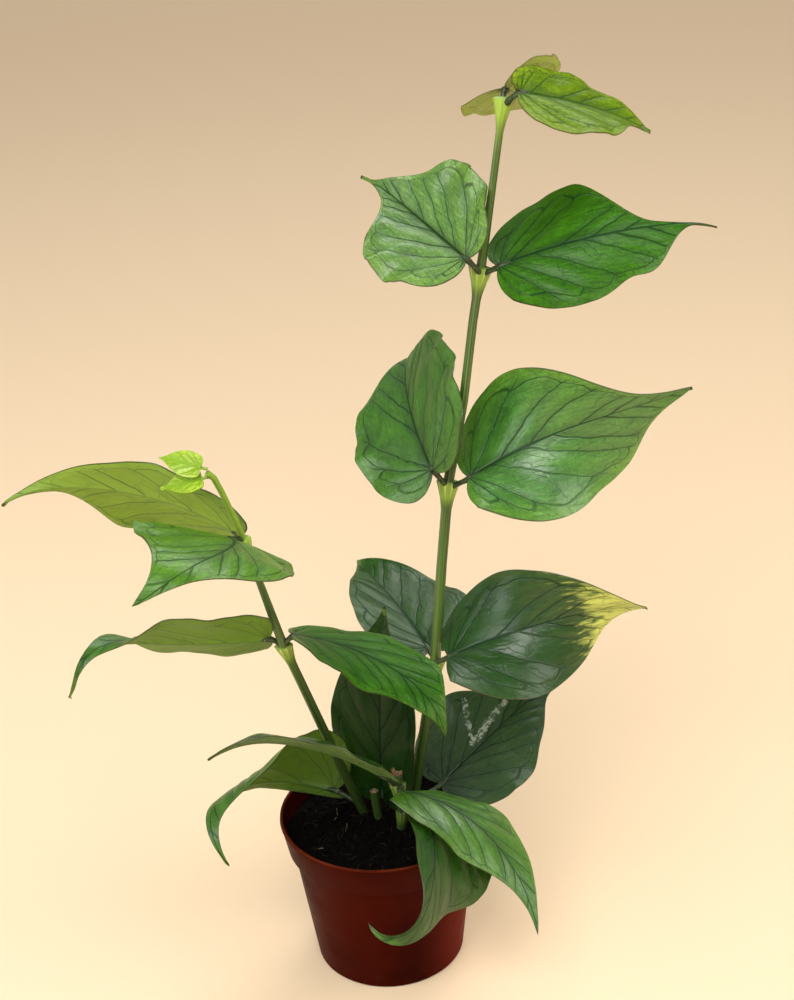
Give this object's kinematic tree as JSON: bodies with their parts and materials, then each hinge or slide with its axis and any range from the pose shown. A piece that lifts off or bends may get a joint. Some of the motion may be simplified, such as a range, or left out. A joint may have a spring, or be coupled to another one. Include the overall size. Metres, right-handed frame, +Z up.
{
  "type": "potted fishtail hoya",
  "caption": "Young climbing hoya with thick cordate leaves and drawn-out tips, in a small round plastic nursery pot with soil.",
  "frame": {"origin": "centre of the pot's base, on the surface it stands on", "axes": "+Z up, +Y away from the viewer of the front, +X to the viewer's right"},
  "size_m": [0.2563, 0.2162, 0.3676],
  "materials": {
    "pot_plastic": "satin",
    "soil": "rough, crumbly peat",
    "stem": "satin, fleshy green stem",
    "leaf": "satin to glossy, thick leaf",
    "leaf_old": "satin, dark old leaf",
    "leaf_young": "satin, yellow-green leaf",
    "leaf_new": "satin, bright new growth"
  },
  "bodies": {
    "root": {"pot": "pot_plastic", "soil": "soil", "stem_tall": "stem", "stem_left": "stem", "stem_cut": "stem", "stem_stub": "stem", "leaf_top_right": "leaf_young", "leaf_top_back": "leaf_young", "leaf_upper_left": "leaf", "leaf_upper_right": "leaf", "leaf_middle_left": "leaf", "leaf_middle_right": "leaf", "leaf_low_back": "leaf", "leaf_low_right": "leaf", "leaf_side_left": "leaf", "leaf_side_right": "leaf", "leaf_side_upper_back": "leaf", "leaf_side_upper_front": "leaf", "leaf_cut_left": "leaf", "leaf_cut_right": "leaf", "leaf_cut_front": "leaf", "leaf_base_left": "leaf", "leaf_base_back": "leaf_old", "leaf_base_right": "leaf_old", "leaf_new_upper": "leaf_new", "leaf_new_lower": "leaf_new"}
  },
  "joints": []
}
